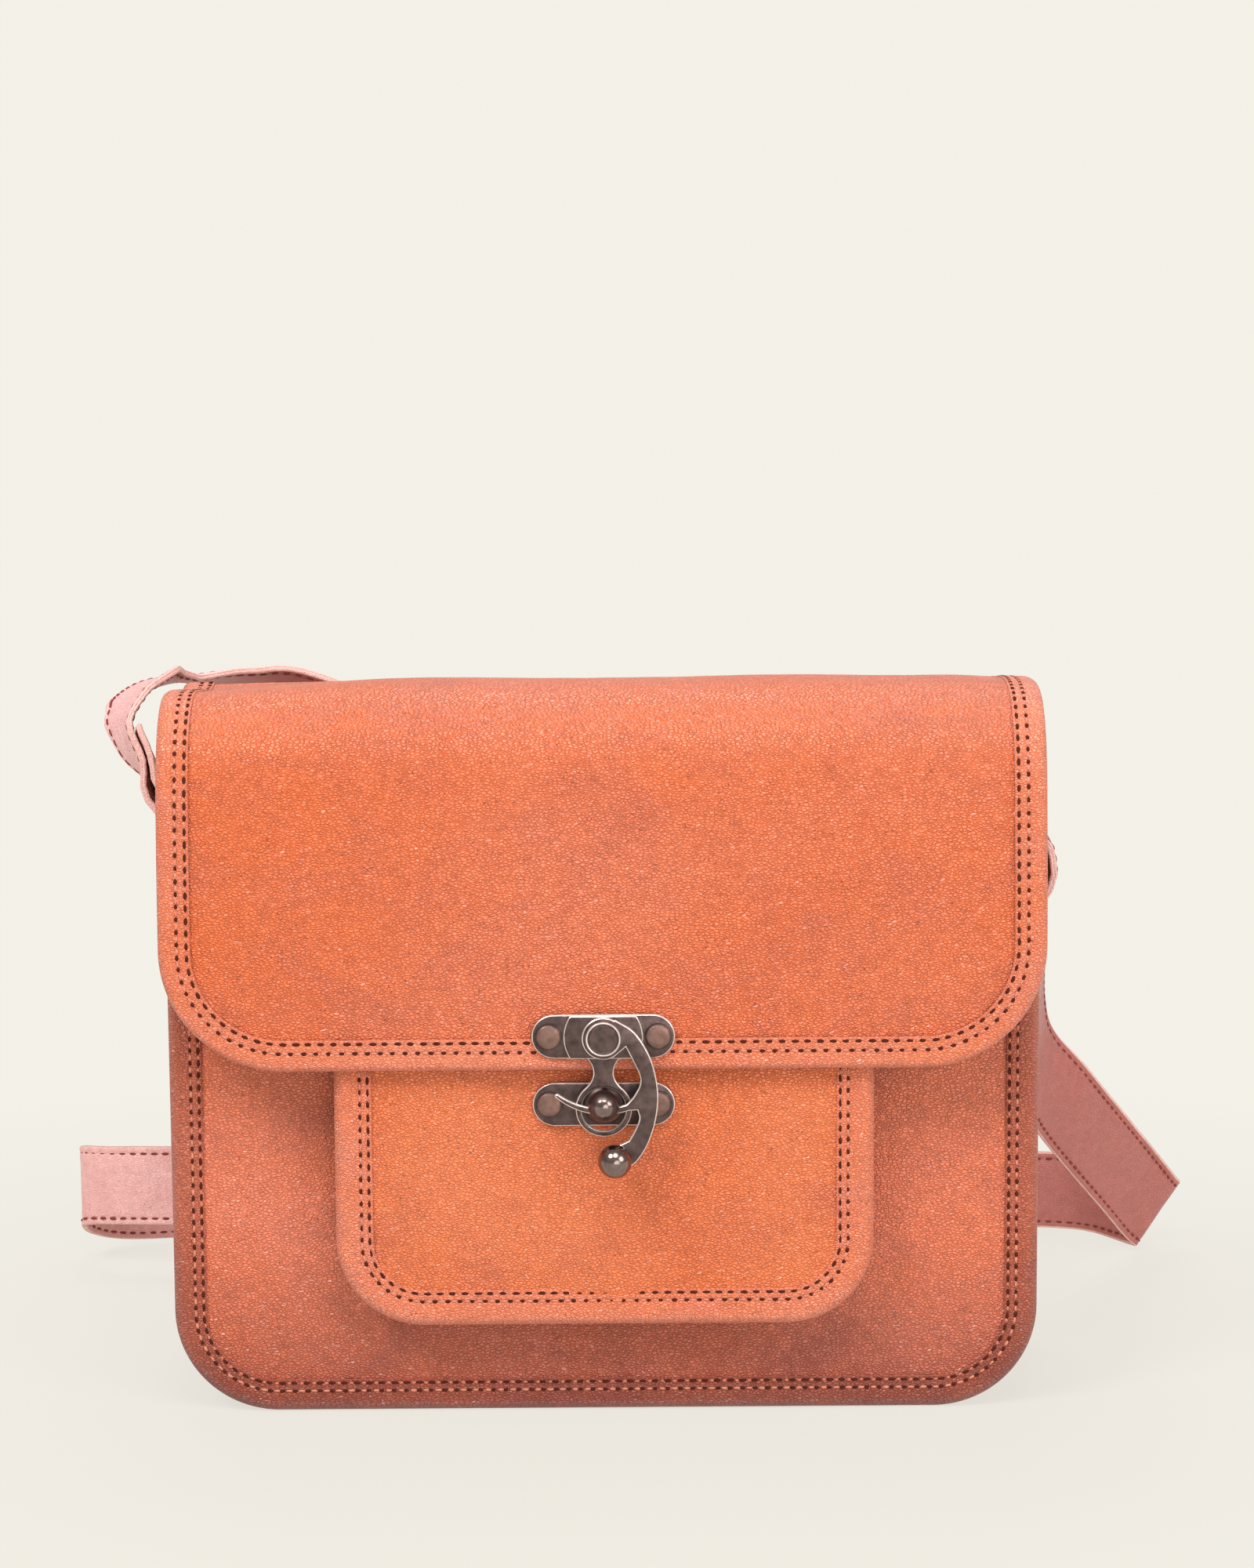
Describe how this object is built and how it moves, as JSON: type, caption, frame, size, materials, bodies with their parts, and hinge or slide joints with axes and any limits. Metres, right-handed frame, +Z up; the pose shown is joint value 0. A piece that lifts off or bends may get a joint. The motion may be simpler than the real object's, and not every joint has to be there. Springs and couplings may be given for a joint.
{
  "type": "leather satchel",
  "caption": "Leather shoulder satchel with a front pocket, a hinged full flap closed by a riveted swing hook, bound stitched edges, and a buckled shoulder strap looped behind it.",
  "frame": {"origin": "middle of the front rim's foot, on the surface that the bag stands on", "axes": "+X to the viewer's right along the flap's lower edge, +Y from the front towards the back of the bag, +Z up"},
  "size_m": [0.3624, 0.2405, 0.2106],
  "materials": {
    "body_leather": "satin",
    "binding_leather": "satin",
    "strap_leather": "satin",
    "metal": "antique nickel"
  },
  "bodies": {
    "body": {"front_panel": "body_leather", "front_binding": "binding_leather", "back_panel": "body_leather", "back_binding": "binding_leather", "gusset": "body_leather", "pocket_face": "body_leather", "pocket_binding": "binding_leather", "pocket_gusset": "body_leather", "stud_rivet_left": "metal", "stud_rivet_right": "metal", "stud_plate": "metal", "stud_post": "metal", "strap_ring_left": "metal", "strap_tab_left": "strap_leather", "strap_ring_right": "metal", "strap_tab_right": "strap_leather", "strap_long": "strap_leather", "strap_short": "strap_leather", "buckle_frame": "metal", "strap_keeper": "strap_leather"},
    "flap_top": {"flap_top": "body_leather", "flap_top_binding_left": "binding_leather", "flap_top_binding_right": "binding_leather"},
    "flap_front": {"flap_front": "body_leather", "flap_binding": "binding_leather", "hasp_plate": "metal", "hook_lug": "metal", "hook_pivot": "metal", "hasp_rivet_left": "metal", "hasp_rivet_right": "metal"},
    "hook": {"clasp_hook": "metal", "hook_knob": "metal"},
    "buckle_prong": {"buckle_prong": "metal"}
  },
  "joints": [
    {"name": "flap_top_hinge", "type": "hinge", "parent": "body", "child": "flap_top", "pos_m": [0, 0.0716, 0.201], "axis": [-1, 0, 0], "range_deg": [0, 105]},
    {"name": "flap_front_hinge", "type": "hinge", "parent": "flap_top", "child": "flap_front", "pos_m": [0, -0.01007, 0.19979], "axis": [-1, 0, 0], "range_deg": [0, 100]},
    {"name": "hook_swing", "type": "hinge", "parent": "flap_front", "child": "hook", "pos_m": [0, -0.024, 0.1151], "axis": [0, -1, 0], "range_deg": [0, 100]},
    {"name": "buckle_prong_hinge", "type": "hinge", "parent": "body", "child": "buckle_prong", "pos_m": [0.03, 0.19924, 0.0173], "axis": [0, 0, -1], "range_deg": [0, 8]}
  ]
}
